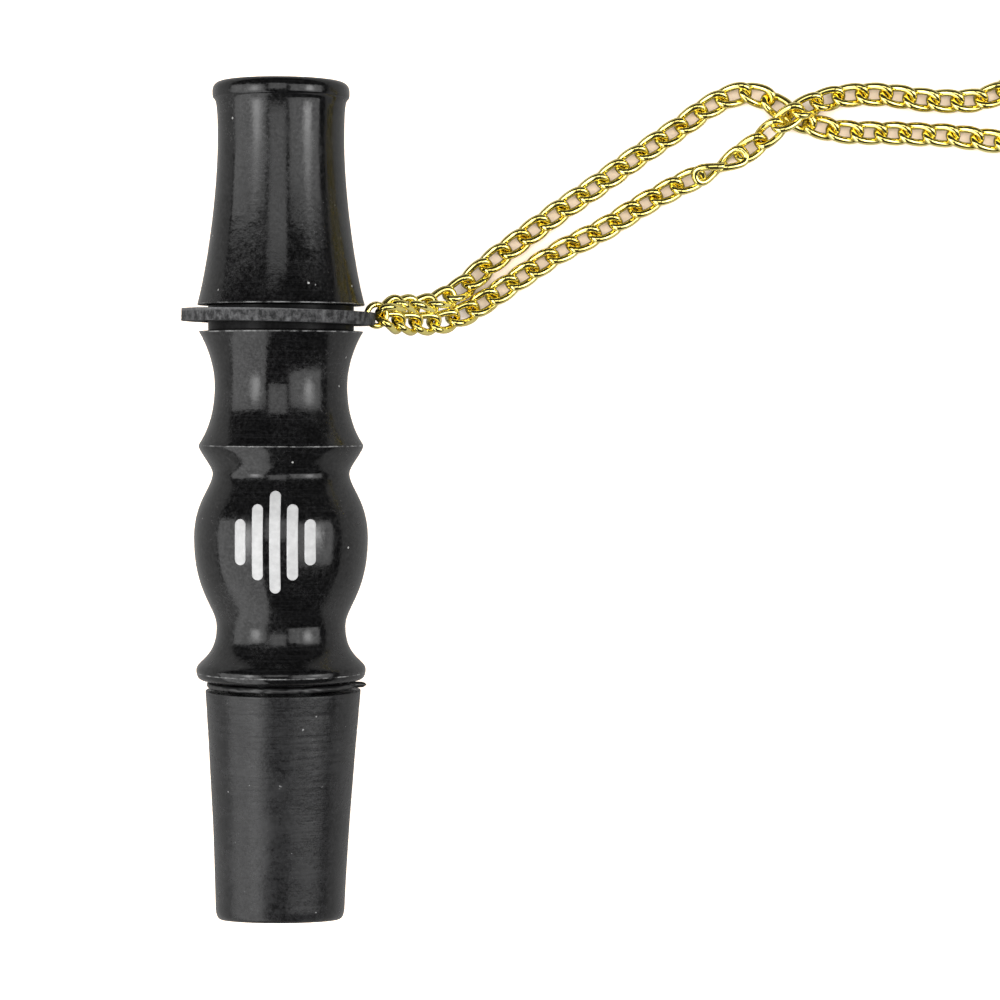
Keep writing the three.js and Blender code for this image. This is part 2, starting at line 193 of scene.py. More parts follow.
def apply_modifiers(piece):
    """The piece's mesh becomes what its modifiers make of it."""
    material = piece.data.materials[0]
    depsgraph = bpy.context.evaluated_depsgraph_get()
    made = bpy.data.meshes.new_from_object(piece.evaluated_get(depsgraph))
    piece.modifiers.clear()
    piece.data = made
    made.materials.clear()
    made.materials.append(material)
    made.shade_smooth()


def flat_faces_stay_flat(piece):
    piece.modifiers.new("weighted_normals", "WEIGHTED_NORMAL").weight = 60


def grid_faces(rows, columns, rows_close, start=0):
    """Faces of a grid whose columns close on themselves, and its rows too if rows_close."""
    faces = []
    for i in range(rows if rows_close else rows - 1):
        for j in range(columns):
            this_row = start + i * columns
            next_row = start + (i + 1) % rows * columns
            beside = (j + 1) % columns
            faces.append((this_row + j, this_row + beside, next_row + beside, next_row + j))
    return faces


def circle(radius, sides):
    angles = [2 * math.pi * k / sides for k in range(sides)]
    return [(radius * math.cos(angle), radius * math.sin(angle)) for angle in angles]


def sweep(path, section, up, closed, start=0):
    """A section carried along a path, its second axis as near to up as it can be: points and faces."""
    count = len(path)
    points = []
    for i, centre in enumerate(path):
        after = path[(i + 1) % count] if closed else path[min(i + 1, count - 1)]
        before = path[i - 1] if closed else path[max(i - 1, 0)]
        ahead = (after - before).normalized()
        across = ahead.cross(up).normalized()
        raised = across.cross(ahead)
        for a, b in section:
            points.append(centre + across * a + raised * b)
    faces = grid_faces(count, len(section), closed, start)
    if not closed:
        faces.append(tuple(range(start, start + len(section))))
        faces.append(tuple(range(start + (count - 1) * len(section), start + count * len(section))))
    return points, faces


def bezier(start, leave, arrive, end, steps):
    """Points of a cubic curve after its start."""
    points = []
    for k in range(1, steps + 1):
        t = k / steps
        weights = ((1 - t) ** 3, 3 * t * (1 - t) ** 2, 3 * t * t * (1 - t), t**3)
        corners = (start, leave, arrive, end)
        points.append(tuple(sum(w * c[axis] for w, c in zip(weights, corners)) for axis in (0, 1)))
    return points


def sweep_to(outline, end, ahead, behind, slope_from=0, slope_to=0, steps=26):
    """Carries an outline on to end, along the axis at both ends unless a slope is given."""
    start = outline[-1]
    leave = (start[0] + slope_from * ahead * MM, start[1] + ahead * MM)
    arrive = (end[0] - slope_to * behind * MM, end[1] - behind * MM)
    outline.extend(bezier(start, leave, arrive, end, steps))


def bend_to(outline, corner, end, steps=10):
    """Carries an outline on to end by a quarter bend round a corner."""
    start = Vector(outline[-1])
    corner = Vector(corner)
    leave = start.lerp(corner, 2 / 3)
    arrive = Vector(end).lerp(corner, 2 / 3)
    outline.extend(bezier(start, leave, arrive, end, steps))


def line_to(outline, end, steps):
    start = Vector(outline[-1])
    outline.extend(tuple(start.lerp(Vector(end), k / steps)) for k in range(1, steps + 1))


def softened(outline, cut, steps=4):
    """The closed outline with its sharp corners rounded over the distance cut."""
    rounded = []
    for i, point in enumerate(outline):
        corner = Vector(point)
        before = Vector(outline[i - 1]) - corner
        after = Vector(outline[(i + 1) % len(outline)]) - corner
        if before.angle(after) > math.radians(150):
            rounded.append(point)
            continue
        start = corner + before.normalized() * min(cut, 0.4 * before.length)
        end = corner + after.normalized() * min(cut, 0.4 * after.length)
        for k in range(steps + 1):
            t = k / steps
            rounded.append(tuple(start * (1 - t) ** 2 + corner * 2 * t * (1 - t) + end * t * t))
    return rounded


def turned(name, outline, material, reshape=None, around=AROUND):
    """A closed outline of (radius, along) points turned about the mouthpiece's axis.
    reshape takes radius, along and angle, and gives the radius there."""
    points = []
    for radius, along in outline:
        for k in range(around):
            angle = 2 * math.pi * k / around
            reach = reshape(radius, along, angle) if reshape else radius
            points.append((reach * math.cos(angle), along, -reach * math.sin(angle)))
    faces = grid_faces(len(outline), around, True)
    piece = add_piece(name, points, faces, material, MOUTHPIECE)
    flat_faces_stay_flat(piece)
    return piece


def thread(wall, first, last):
    """A right-hand thread on the wall of that radius, fading out at first and last."""

    def reshape(radius, along, angle):
        if abs(radius - wall) > 1e-7 or not first < along < last:
            return radius
        turns = along / THREAD_PITCH - angle / (2 * math.pi)
        wave = abs(2 * (turns - math.floor(turns)) - 1) - 0.5
        up_flank = min(1, abs(wave) / THREAD_FLANK)
        crest = math.copysign(up_flank * min(0.8, up_flank), wave)
        fade = smoothstep((along - first) / THREAD_PITCH) * smoothstep((last - along) / THREAD_PITCH)
        return radius + 1.24 * THREAD_DEPTH * crest * fade

    return reshape


# ---- materials ----


def new_material(name, colour, roughness, metallic=0.0):
    """A material and its shader, with plain values on the shader."""
    material = bpy.data.materials.new(name)
    material.use_nodes = True
    shader = material.node_tree.nodes["Principled BSDF"]
    shader.inputs["Base Color"].default_value = (*colour, 1)
    shader.inputs["Roughness"].default_value = roughness
    shader.inputs["Metallic"].default_value = metallic
    return material, shader


def add_node(material, kind, inputs=(), **settings):
    """A node with its settings. An input's value is a number, a tuple or another node's output."""
    node = material.node_tree.nodes.new(kind)
    for key, value in settings.items():
        setattr(node, key, value)
    for key, value in dict(inputs).items():
        if isinstance(value, bpy.types.NodeSocket):
            material.node_tree.links.new(value, node.inputs[key])
        else:
            node.inputs[key].default_value = value
    return node


def place_in_piece(material, stretch=(1, 1, 1)):
    """The place in the piece's own frame, with each axis stretched."""
    coordinates = add_node(material, "ShaderNodeTexCoord").outputs["Object"]
    inputs = {"Vector": coordinates, "Scale": stretch}
    return add_node(material, "ShaderNodeMapping", inputs).outputs["Vector"]


def along_axis(material):
    """How far a place is along the mouthpiece's axis, on a turned piece."""
    coordinates = add_node(material, "ShaderNodeTexCoord").outputs["Object"]
    return add_node(material, "ShaderNodeSeparateXYZ", {"Vector": coordinates}).outputs["Y"]


def spread(material, value, low, high, low_value=0.0, high_value=1.0):
    """Goes from low_value to high_value as value goes from low to high, and no further."""
    inputs = {"Value": value, "From Min": low, "From Max": high, "To Min": low_value, "To Max": high_value}
    return add_node(material, "ShaderNodeMapRange", inputs).outputs["Result"]


def opaque(colour):
    """A colour with its alpha. A single number is a grey."""
    return (*colour, 1) if isinstance(colour, tuple) else (colour, colour, colour, 1)


def noise_at(material, place, scale, detail=3.0, roughness=0.5):
    inputs = {"Vector": place, "Scale": scale, "Detail": detail, "Roughness": roughness}
    return add_node(material, "ShaderNodeTexNoise", inputs).outputs["Fac"]


def ramp(material, value, low, high, low_colour, high_colour):
    """Goes from one grey or colour to another as value goes from low to high."""
    node = add_node(material, "ShaderNodeValToRGB", {"Fac": value})
    stops = node.color_ramp.elements
    for stop, position, colour in zip(stops, (low, high), (low_colour, high_colour)):
        stop.position = position
        stop.color = opaque(colour)
    return node.outputs["Color"]


def mixed(material, share, first, second):
    """The share of second in first. The share is another node's output."""
    node = add_node(material, "ShaderNodeMix", data_type="RGBA")
    wanted = (("Factor", "VALUE", share), ("A", "RGBA", first), ("B", "RGBA", second))
    for name, kind, value in wanted:
        socket = next(s for s in node.inputs if s.name == name and s.type == kind)
        if isinstance(value, bpy.types.NodeSocket):
            material.node_tree.links.new(value, socket)
        else:
            socket.default_value = opaque(value)
    return next(s for s in node.outputs if s.type == "RGBA")


def bumps(material, shader, heights):
    """Lays bumps on each other: each is a height from 0 to 1 and its real depth in metres."""
    normal = None
    for height, depth in heights:
        inputs = {"Height": height, "Strength": 1.0, "Distance": depth}
        if normal:
            inputs["Normal"] = normal
        normal = add_node(material, "ShaderNodeBump", inputs).outputs["Normal"]
    material.node_tree.links.new(normal, shader.inputs["Normal"])


def feed(material, shader, **sockets):
    for name, value in sockets.items():
        material.node_tree.links.new(value, shader.inputs[name.replace("_", " ")])


def black_gloss(name, worn_and_highlit_edges, shaded_below=None):
    """Polished black resin: grain, fine turning lines, smears, hairline scratches, specks of dust, and pale
    patchy lines along the given edges, partly wear and partly painted highlight. Below the given point along
    the axis it is rougher and dull: painted shade on the neck."""
    material, shader = new_material(name, (0.006, 0.006, 0.0065), 0.12)
    here = place_in_piece(material)
    smears = noise_at(material, here, 230, 6, 0.66)
    waves = noise_at(material, here, 800, 3, 0.6)
    grain = noise_at(material, here, 2700, 4, 0.7)
    turning = noise_at(material, place_in_piece(material, (90, 5200, 90)), 1, 3, 0.6)
    lines = ramp(material, turning, 0.5, 0.78, (0.0012, 0.0012, 0.0013), (0.011, 0.011, 0.0115))
    cloudy = ramp(material, grain, 0.4, 0.75, (0.0012, 0.0012, 0.0013), (0.014, 0.014, 0.0145))
    haze = mixed(material, smears, lines, cloudy)
    cells = add_node(material, "ShaderNodeTexVoronoi", {"Vector": here, "Scale": 520.0, "Randomness": 1.0})
    dots = ramp(material, cells.outputs["Distance"], 0.05, 0.085, 1.0, 0.0)
    dusty = ramp(material, noise_at(material, here, 170, 3), 0.56, 0.62, 0.0, 1.0)
    dust = mixed(material, dusty, 0.0, dots)
    colour = mixed(material, dust, haze, (0.34, 0.34, 0.33))
    along = along_axis(material)
    patchy = ramp(material, waves, 0.42, 0.62, 0.0, 1.0)
    # Partly wear and partly painted highlight: pale patchy lines along the given edges stand in for the
    # bright lines the edges catch from the lights.
    edge_wear_and_highlight = mixed(material, patchy, 0.01, 0.16)
    for edge in worn_and_highlit_edges:
        offset = add_node(material, "ShaderNodeMath", {0: along, 1: edge}, operation="SUBTRACT").outputs[0]
        away = add_node(material, "ShaderNodeMath", {0: offset}, operation="ABSOLUTE").outputs[0]
        close = spread(material, away, 0.035 * MM, 0.09 * MM, 1.0, 0.0)
        colour = mixed(material, close, colour, edge_wear_and_highlight)
    rough_grain = ramp(material, grain, 0.42, 0.66, 0.0, 1.0)
    smooth_finish = ramp(material, smears, 0.34, 0.68, 0.05, 0.22)
    finish = mixed(material, rough_grain, smooth_finish, ramp(material, smears, 0.34, 0.68, 0.12, 0.36))
    shine = mixed(material, rough_grain, ramp(material, smears, 0.35, 0.65, 0.3, 0.42), 0.52)
    # Painted shade: below this point along the axis the resin is made rougher and far less reflective, which
    # darkens the neck between the shoulder and the ring.
    if shaded_below:
        unshaded_above = spread(material, along, shaded_below - 0.02 * MM, shaded_below + 0.02 * MM)
        finish = mixed(material, unshaded_above, 0.3, finish)
        shine = mixed(material, unshaded_above, 0.07, shine)
    feed(material, shader, Base_Color=colour, Roughness=mixed(material, dust, finish, 0.7))
    feed(material, shader, Specular_IOR_Level=shine)
    scratches = noise_at(material, place_in_piece(material, (2600, 140, 2600)), 1, 4, 0.7)
    hairlines = ramp(material, scratches, 0.64, 0.7, 0.0, 1.0)
    layers = [(smears, 0.03 * MM), (waves, 0.01 * MM), (turning, 0.0016 * MM), (grain, 0.0034 * MM)]
    bumps(material, shader, [*layers, (hairlines, 0.0005 * MM)])
    return material


def sleeve_rubber():
    """Matt dark grey rubber: stains, grain, nicks, and scuffs round it that thicken towards its top."""
    material, shader = new_material("sleeve_rubber", (0.035, 0.035, 0.036), 0.42)
    shader.inputs["Specular IOR Level"].default_value = 0.32
    here = place_in_piece(material)
    stains = noise_at(material, here, 210, 7, 0.72)
    grain = noise_at(material, here, 2600, 4, 0.68)
    scuffs = noise_at(material, place_in_piece(material, (240, 3600, 240)), 1, 5, 0.7)
    towards_top = spread(material, along_axis(material), SLEEVE_TOP[1] * 0.2, SLEEVE_TOP[1])
    tint = ramp(material, stains, 0.38, 0.64, (0.002, 0.002, 0.0022), (0.014, 0.014, 0.0145))
    grained = mixed(material, ramp(material, grain, 0.35, 0.75, 0.0, 0.7), tint, (0.026, 0.026, 0.027))
    dark_lines = ramp(material, scuffs, 0.4, 0.49, 1.0, 0.0)
    shown = mixed(material, dark_lines, 0.0, mixed(material, towards_top, 0.1, 0.75))
    lined = mixed(material, shown, grained, (0.002, 0.002, 0.0022))
    nicks = ramp(material, noise_at(material, here, 1500, 2), 0.755, 0.79, 0.0, 1.0)
    feed(
        material,
        shader,
        Base_Color=mixed(material, nicks, lined, 0.2),
        Roughness=ramp(material, stains, 0.3, 0.7, 0.18, 0.34),
    )
    bumps(material, shader, [(scuffs, 0.016 * MM), (grain, 0.008 * MM), (stains, 0.09 * MM)])
    return material


def ring_rubber():
    """Grey cut sheet: a pale skin on its upper side, and a torn, mottled cut edge under it."""
    material, shader = new_material("ring_rubber", (0.1, 0.1, 0.103), 0.75)
    tears = noise_at(material, place_in_piece(material, (1400, 1000, 1400)), 1, 5, 0.75)
    grain = noise_at(material, place_in_piece(material), 2600, 4, 0.65)
    height = spread(material, along_axis(material), RING_BOTTOM, RING_TOP)
    torn = ramp(material, tears, 0.42, 0.64, (0.002, 0.002, 0.0025), (0.07, 0.07, 0.072))
    skin = ramp(material, grain, 0.3, 0.7, (0.05, 0.05, 0.052), (0.11, 0.11, 0.113))
    upper = ramp(material, height, 0.66, 0.82, 0.0, 1.0)
    feed(material, shader, Base_Color=mixed(material, upper, torn, skin))
    bumps(material, shader, [(tears, 0.05 * MM), (grain, 0.03 * MM)])
    return material


def seal_rubber():
    """Soft black seal rubber, a little greasy."""
    material, shader = new_material("seal_rubber", (0.008, 0.008, 0.008), 0.36)
    grain = noise_at(material, place_in_piece(material), 1500, 4, 0.6)
    feed(
        material,
        shader,
        Base_Color=ramp(material, grain, 0.3, 0.75, 0.005, 0.016),
        Roughness=ramp(material, grain, 0.3, 0.7, 0.24, 0.5),
    )
    bumps(material, shader, [(grain, 0.02 * MM)])
    return material


def gold():
    """Bright lemon gold plate on wire, with slight drawing marks."""
    material, shader = new_material("gold_chain", (0.94, 0.82, 0.3), 0.12, metallic=1.0)
    here = place_in_piece(material)
    patches = noise_at(material, here, 420, 3)
    feed(
        material,
        shader,
        Base_Color=ramp(material, patches, 0.3, 0.7, (0.9, 0.73, 0.18), (0.99, 0.88, 0.31)),
        Roughness=ramp(material, noise_at(material, here, 1400, 3), 0.3, 0.75, 0.05, 0.14),
    )
    bumps(material, shader, [(noise_at(material, here, 2400, 2), 0.005 * MM)])
    return material


def white_print():
    """Printed mark: flat white ink with slight mottling."""
    material, shader = new_material("white_print", (0.37, 0.37, 0.37), 0.45)
    mottle = noise_at(material, place_in_piece(material), 1100, 4, 0.65)
    feed(material, shader, Base_Color=ramp(material, mottle, 0.3, 0.7, 0.31, 0.42))
    bumps(material, shader, [(mottle, 0.006 * MM)])
    return material


def woven_band():
    """Flat black woven band: warp ribs along it, crossed by the weft."""
    material, shader = new_material("tie_cord", (0.02, 0.02, 0.021), 0.75)
    shader.inputs["Sheen Weight"].default_value = 0.25
    along = add_node(material, "ShaderNodeTexCoord").outputs["UV"]
    inputs = {"Vector": along, "Scale": (1 / WEFT_STEP, 1 / WARP_STEP, 1)}
    place = add_node(material, "ShaderNodeMapping", inputs).outputs["Vector"]
    waves = {"Vector": place, "Scale": 0.314}
    warp = add_node(material, "ShaderNodeTexWave", waves, bands_direction="Y").outputs["Color"]
    weft = add_node(material, "ShaderNodeTexWave", waves, bands_direction="X").outputs["Color"]
    over = add_node(material, "ShaderNodeTexChecker", {"Vector": place, "Scale": 1.0}).outputs["Fac"]
    threads = mixed(material, over, warp, weft)
    colour = ramp(material, threads, 0.1, 0.9, (0.006, 0.006, 0.007), (0.045, 0.045, 0.048))
    feed(material, shader, Base_Color=colour)
    bumps(material, shader, [(threads, 0.07 * MM)])
    return material


# ---- camera and chain ----


def make_camera():
    camera = bpy.data.objects.new("camera", bpy.data.cameras.new("camera"))
    camera.data.sensor_width = 36
    camera.data.angle = VIEW_ANGLE
    camera.data.clip_start = 0.01
    camera.location = (*VIEW_CENTRE, VIEW_HEIGHT)
    camera.rotation_euler = (0, 0, VIEW_ROLL)
    bpy.context.scene.collection.objects.link(camera)
    bpy.context.scene.camera = camera


def jump_ring_place():
    """The jump ring's frame: its centre, its wire's plane holding X and Y, the far side at +X."""
    at_hole = Matrix.Translation((RING_HOLE_FROM_AXIS, RING_MIDDLE, 0))
    droop = Matrix.Rotation(JUMP_RING_DROOP, 4, "Y")
    return MOUTHPIECE @ at_hole @ droop @ Matrix.Translation((JUMP_RING_RADIUS, 0, 0))


def on_jump_ring(degrees):
    angle = math.radians(degrees)
    reach = JUMP_RING_RADIUS * Vector((math.cos(angle), math.sin(angle), 0))
    return jump_ring_place() @ reach


def middle_of(node):
    low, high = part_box(node)
    return (low + high) / 2


def smooth_route(points, steps=24):
    """The centripetal Catmull-Rom curve through the points, as close-set points."""
    knots = [2 * points[0] - points[1], *points, 2 * points[-1] - points[-2]]
    line = [points[0]]
    for before, start, end, after in zip(knots, knots[1:], knots[2:], knots[3:]):
        steps_here = (start - before, end - start, after - end)
        gaps = [max(1e-6, math.sqrt(step.length)) for step in steps_here]
        leave = (start - before) / gaps[0] - (end - before) / (gaps[0] + gaps[1]) + (end - start) / gaps[1]
        arrive = (end - start) / gaps[1] - (after - start) / (gaps[1] + gaps[2]) + (after - end) / gaps[2]
        leave *= gaps[1]
        arrive *= gaps[1]
        for k in range(1, steps + 1):
            t = k / steps
            bend = (2 * start - 2 * end + leave + arrive) * t**3
            bend += (3 * end - 3 * start - 2 * leave - arrive) * t**2
            line.append(start + leave * t + bend)
    return line


class Route:
    """A line that can be asked for the point at a distance along it."""

    def __init__(self, line):
        self.line = line
        self.reached = [0.0]
        for a, b in zip(line, line[1:]):
            self.reached.append(self.reached[-1] + (b - a).length)
        self.length = self.reached[-1]

    def at(self, distance):
        distance = min(self.length, max(0, distance))
        low, high = 0, len(self.line) - 1
        while high - low > 1:
            middle = (low + high) // 2
            if self.reached[middle] <= distance:
                low = middle
            else:
                high = middle
        share = (distance - self.reached[low]) / max(1e-9, self.reached[high] - self.reached[low])
        return self.line[low].lerp(self.line[high], share)


def link_line(steps=30):
    """A link's own wire line: a full oval, twisted one way at each end."""
    line = []
    for k in range(steps):
        angle = 2 * math.pi * k / steps
        along = math.copysign(abs(math.cos(angle)) ** 0.9, math.cos(angle))
        across = LINK_HALF_WIDTH * math.copysign(abs(math.sin(angle)) ** 0.9, math.sin(angle))
        line.append(Vector((LINK_HALF_LENGTH * along, across, math.tan(LINK_TWIST) * along * across)))
    return line


def chain(name, route, roll_at, material, seed):
    """Links along a route, hooked over the wire that lies at each of its ends."""
    chance = random.Random(seed)
    shape = link_line()
    section = circle(LINK_WIRE_RADIUS, 12)
    reach = route.length - 2 * HOOK_REACH
    spaces = round(reach / LINK_PITCH)
    links = []
    for k in range(spaces + 1):
        distance = HOOK_REACH + reach * k / spaces
        ahead = (route.at(distance + 0.6 * LINK_PITCH) - route.at(distance - 0.6 * LINK_PITCH)).normalized()
        across = Vector((0, 0, 1)).cross(ahead).normalized()
        turn = Matrix((ahead, across, ahead.cross(across))).transposed().to_4x4()
        roll = Matrix.Rotation(roll_at(distance) + math.radians(chance.gauss(0, 2.2)), 4, "X")
        yaw = Matrix.Rotation(math.radians(chance.gauss(0, 1.2)), 4, "Z")
        place = Matrix.Translation(route.at(distance)) @ turn @ roll @ yaw
        links.append(([place @ p for p in shape], (place.to_3x3() @ Vector((0, 0, 1))).normalized()))
    sunk = [max(0, LINK_WIRE_RADIUS - min(p.z for p in line)) for line, link_up in links]
    points = []
    faces = []
    for k, (line, link_up) in enumerate(links):
        beside = (sunk[max(0, k - 1)] + sunk[min(spaces, k + 1)]) / 2
        lift = Vector((0, 0, max(sunk[k], 0.7 * beside)))
        more_points, more_faces = sweep([p + lift for p in line], section, link_up, True, len(points))
        points.extend(more_points)
        faces.extend(more_faces)
    piece = add_piece(name, points, faces, material)
    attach(piece, "chain")
    return piece


def short_roll(distance):
    """The first links lean over the other strand, and the chain comes flat on its way to the floor."""
    return math.radians(-52) * (1 - smoothstep((distance - 6 * MM) / (9 * MM)))


def long_roll(distance):
    """Leaning a little at the jump ring, then flat, with half a turn of twist part of the way along."""
    start = math.radians(-25) * (1 - smoothstep(distance / (8 * MM)))
    return start + math.pi * smoothstep((distance - 43 * MM) / (9 * MM))


def hank_route():
    """The folded length: flat loops with round ends, each a chain's thickness above the last.
    The lowest lies on the floor and rises over the tie, and each climbs to the next on its way west."""
    across = HANK_EAST - HANK_WEST
    straight = [k / 6 for k in range(7)]
    bend = [math.pi * k / 6 for k in range(1, 6)]
    loop = [(HANK_WEST + across * share, HANK_TURN_RADIUS) for share in straight]
    loop += [(HANK_EAST + HANK_TURN_RADIUS * math.sin(a), HANK_TURN_RADIUS * math.cos(a)) for a in bend]
    loop += [(HANK_EAST - across * share, -HANK_TURN_RADIUS) for share in straight]
    loop += [(HANK_WEST - HANK_TURN_RADIUS * math.sin(a), -HANK_TURN_RADIUS * math.cos(a)) for a in bend]
    climb_start = 15
    climb_end = 22
    points = []
    for turn in range(HANK_TURNS):
        for k, (x, y) in enumerate(loop):
            if turn == HANK_TURNS - 1 and k > climb_start:
                break
            level = turn + smoothstep((k - climb_start) / (climb_end - climb_start))
            over_tie = HANK_RISE * (1 - smoothstep(abs(x - TIE_MIDDLE) / (9 * MM)))
            height = CHAIN_LEVEL + over_tie + CHAIN_THICKNESS * level
            points.append(Vector((x, HANK_MIDDLE_Y + y, height)))
    return points


def small_ring_side(node, direction):
    """The middle of a small ring's wire, on its -X or +X side."""
    return middle_of(node) + Vector((direction * SMALL_RING_RADIUS, 0, 0))


def make_chains(material):
    short_points = [on_jump_ring(26), *map(Vector, SHORT_STRAND), small_ring_side("clasp_ring", -1)]
    long_points = [on_jump_ring(-26), *map(Vector, LONG_STRAND), *hank_route(), *map(Vector, END_STRAND)]
    long_points.append(small_ring_side("end_ring", 1))
    short_route = Route(smooth_route(short_points))
    long_route = Route(smooth_route(long_points))
    short_chain = chain("short_chain", short_route, short_roll, material, 5)
    long_chain = chain("long_chain", long_route, long_roll, material, 11)
    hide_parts("chain_short_strand")
    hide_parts("chain_long_strand", "chain_hank", "chain_end_strand")
    return short_chain, short_route, long_chain, long_route


# ---- turned pieces ----


def grip_outline():
    outline = [(BORE_RADIUS, 1 * MM), (SHANK_RADIUS, 1 * MM), (SHANK_RADIUS, FLANGE_FACE)]
    outline.append((FLANGE[0] - 0.85 * MM, FLANGE_FACE))
    bend_to(outline, (FLANGE[0], FLANGE_FACE), FLANGE)
    sweep_to(outline, LOWER_NECK, 1.1, 3.65)
    sweep_to(outline, BULB, 2.3, 6.45)
    sweep_to(outline, GROOVE, 4.3, 1.7)
    sweep_to(outline, RIDGE, 0.75, 0.7)
    sweep_to(outline, WAIST, 0.3, 4.7)
    sweep_to(outline, TOP_EDGE, 3, 0.7, 0, 0.64)
    outline.append((COUNTERBORE[0], TOP_EDGE[1]))
    outline.append(COUNTERBORE)
    outline.append((SOCKET[0], COUNTERBORE[1]))
    line_to(outline, SOCKET, 60)
    outline.append((BORE_RADIUS, SOCKET[1]))
    return outline


def make_grip_body(material):
    reshape = thread(SOCKET[0], SOCKET[1] + 0.2 * MM, COUNTERBORE[1] + 0.4 * MM)
    body = turned("turned_body", softened(grip_outline(), 0.16 * MM), material, reshape)
    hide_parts("grip_body")
    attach(body, "grip")


def tip_outline():
    outline = [(BORE_RADIUS, SPIGOT[1]), SPIGOT]
    line_to(outline, (SPIGOT[0], TIP_NECK[1]), 72)
    outline.append(TIP_NECK)
    outline.append((TIP_NECK[0], SHOULDER[1]))
    outline.append(SHOULDER)
    sweep_to(outline, NARROW, 3.9, 6.5, -0.28, steps=40)
    sweep_to(outline, LIP, 6.3, 1.9, steps=34)
    bend_to(outline, (LIP[0], LENGTH - 0.2 * MM), (LIP_FACE_RADIUS, LENGTH))
    outline.append((BORE_RADIUS + 0.6 * MM, LENGTH))
    outline.append((BORE_RADIUS, LENGTH - 0.6 * MM))
    return outline


def make_mouth_tip(material):
    reshape = thread(SPIGOT[0], SPIGOT[1], COUNTERBORE[1] - 0.3 * MM)
    tip = turned("lip_end", softened(tip_outline(), 0.14 * MM), material, reshape)
    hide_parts("mouth_tip")
    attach(tip, "tip")


def make_sleeve(material):
    tail_round = 1.5 * MM
    outline = [(SLEEVE_BORE_RADIUS, 0), (SLEEVE_TAIL_RADIUS - tail_round / 2, 0)]
    bend_to(outline, (SLEEVE_TAIL_RADIUS, 0), (SLEEVE_TAIL_RADIUS, tail_round))
    bend_to(outline, (SLEEVE_TAIL_RADIUS + 0.44 * MM, SLEEVE_TOP[1] / 2), SLEEVE_TOP, 120)
    outline.append((SLEEVE_BORE_RADIUS, SLEEVE_TOP[1]))
    line_to(outline, (SLEEVE_BORE_RADIUS, 0), 24)
    outline.pop()
    chance = random.Random(3)
    ring_marks = {}
    for _ in range(40):
        place = round(chance.uniform(0, 1) ** 0.6 * SLEEVE_TOP[1] / MM, 2)
        ring_marks[place] = chance.uniform(0.2, 1)

    def reshape(radius, along, angle):
        depth = sum(d * math.exp(-(((along / MM - s) / 0.12) ** 2)) for s, d in ring_marks.items())
        wander = noise.noise(Vector((3 * math.cos(angle), along / (6 * MM), 3 * math.sin(angle))))
        outside = smoothstep((radius - SLEEVE_BORE_RADIUS) / MM)
        return radius + outside * (0.035 * wander - 0.016 * depth * (0.5 + wander)) * MM

    sleeve = turned("hose_sleeve", softened(outline, 0.12 * MM), material, reshape, 144)
    for vertex in sleeve.data.vertices:
        share = vertex.co.y / SLEEVE_TOP[1]
        upper = max(0, vertex.co.z) / SLEEVE_TAIL_RADIUS
        vertex.co.x += SLEEVE_TAIL_OFFSET + (SLEEVE_TOP_OFFSET - SLEEVE_TAIL_OFFSET) * share
        vertex.co.y -= SLEEVE_END_SLANT * (1 - min(1, upper)) * max(0, 1 - 6 * share)
    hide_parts("taper_sleeve")
    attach(sleeve, "sleeve")


def make_sleeve_seal(material):
    """A rubber washer bulging between flange and sleeve, with a ragged nib of flash at +X."""
    middle = (SEAL_BOTTOM + SEAL_TOP) / 2
    outline = [(SLEEVE_BORE_RADIUS, SEAL_TOP), (SLEEVE_BORE_RADIUS, SEAL_BOTTOM)]
    outline.append((SEAL_RADIUS - 0.3 * MM, SEAL_BOTTOM))
    bend_to(outline, (SEAL_RADIUS, SEAL_BOTTOM), (SEAL_RADIUS, middle), 5)
    bend_to(outline, (SEAL_RADIUS, SEAL_TOP), (SEAL_RADIUS - 0.3 * MM, SEAL_TOP), 5)

    def reshape(radius, along, angle):
        if radius < SLEEVE_BORE_RADIUS + 0.5 * MM:
            return radius
        side = (angle + math.pi) % (2 * math.pi) - math.pi
        nib = smoothstep(1 - abs(side) / math.radians(5.5))
        nib *= 1 - 0.25 * abs(along - middle) / (middle - SEAL_BOTTOM)
        ragged = noise.noise(Vector((9 * math.cos(angle), along / (0.4 * MM), 9 * math.sin(angle))))
        return radius + NIB_REACH * nib + 0.12 * MM * ragged

    seal = turned("sleeve_washer", softened(outline, 0.06 * MM), material, reshape, 480)
    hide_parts("sleeve_seal")
    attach(seal, "grip")


def make_joint_seal(material):
    section = circle(JOINT_SEAL_WIRE, 20)
    middle = (COUNTERBORE[1] + TOP_EDGE[1]) / 2
    outline = [(JOINT_SEAL_RADIUS + a, middle + b) for a, b in section]
    seal = turned("tip_o_ring", outline, material)
    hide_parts("joint_seal")
    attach(seal, "tip_carrier")


